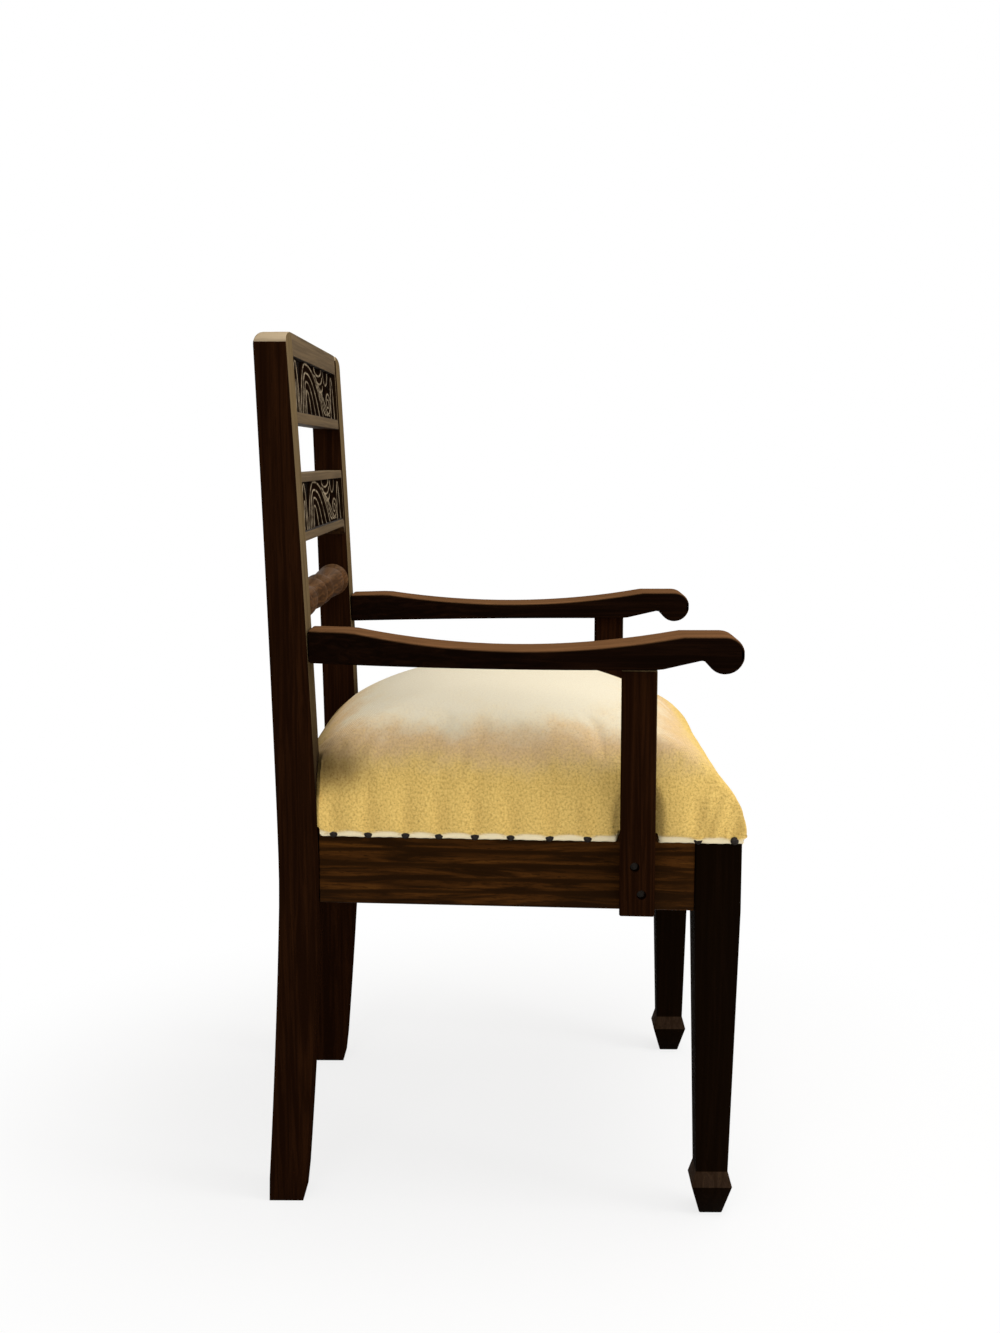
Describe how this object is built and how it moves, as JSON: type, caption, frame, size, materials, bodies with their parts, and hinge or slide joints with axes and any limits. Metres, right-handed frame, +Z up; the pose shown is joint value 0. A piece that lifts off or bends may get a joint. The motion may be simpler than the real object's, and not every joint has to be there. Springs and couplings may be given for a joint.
{
  "type": "armchair",
  "caption": "Wooden armchair with a raked back of carved and turned rails, scrolled arms, tapered spade-foot front legs and a sprung, nailed linen seat.",
  "frame": {"origin": "on the floor, under the centre of the chair's outline box", "axes": "+Z up, the chair faces -Y, the sitter's left is at +X"},
  "size_m": [0.566, 0.5059, 0.934],
  "materials": {
    "dark_teak": "dark stained teak, satin polish",
    "brown_teak": "brown stained teak with streaked grain, satin polish",
    "linen": "natural plain-weave linen",
    "jute": "woven jute",
    "coir": "teased coir fibre",
    "steel": "bare steel"
  },
  "bodies": {
    "root": {"arm_left": "dark_teak", "arm_post_left": "dark_teak", "arm_post_right": "dark_teak", "arm_post_screw_lower_left": "steel", "arm_post_screw_lower_right": "steel", "arm_post_screw_upper_left": "steel", "arm_post_screw_upper_right": "steel", "arm_right": "dark_teak", "back_post_left": "dark_teak", "back_post_right": "dark_teak", "back_seat_rail": "brown_teak", "corner_block_back_left": "brown_teak", "corner_block_back_right": "brown_teak", "corner_block_front_left": "brown_teak", "corner_block_front_right": "brown_teak", "corner_screw_back_left_cross": "steel", "corner_screw_back_left_side": "steel", "corner_screw_back_right_cross": "steel", "corner_screw_back_right_side": "steel", "corner_screw_front_left_cross": "steel", "corner_screw_front_left_side": "steel", "corner_screw_front_right_cross": "steel", "corner_screw_front_right_side": "steel", "crest_rail": "brown_teak", "front_leg_left": "dark_teak", "front_leg_right": "dark_teak", "front_seat_rail": "brown_teak", "middle_rail": "brown_teak", "seat_cover": "linen", "seat_spring_1": "steel", "seat_spring_2": "steel", "seat_spring_3": "steel", "seat_spring_4": "steel", "seat_spring_5": "steel", "seat_stuffing": "coir", "side_seat_rail_left": "brown_teak", "side_seat_rail_right": "brown_teak", "spring_canvas": "jute", "turned_rail": "brown_teak", "webbing_crosswise_1": "jute", "webbing_crosswise_2": "jute", "webbing_crosswise_3": "jute", "webbing_lengthwise_1": "jute", "webbing_lengthwise_2": "jute", "webbing_lengthwise_3": "jute"}
  },
  "joints": []
}
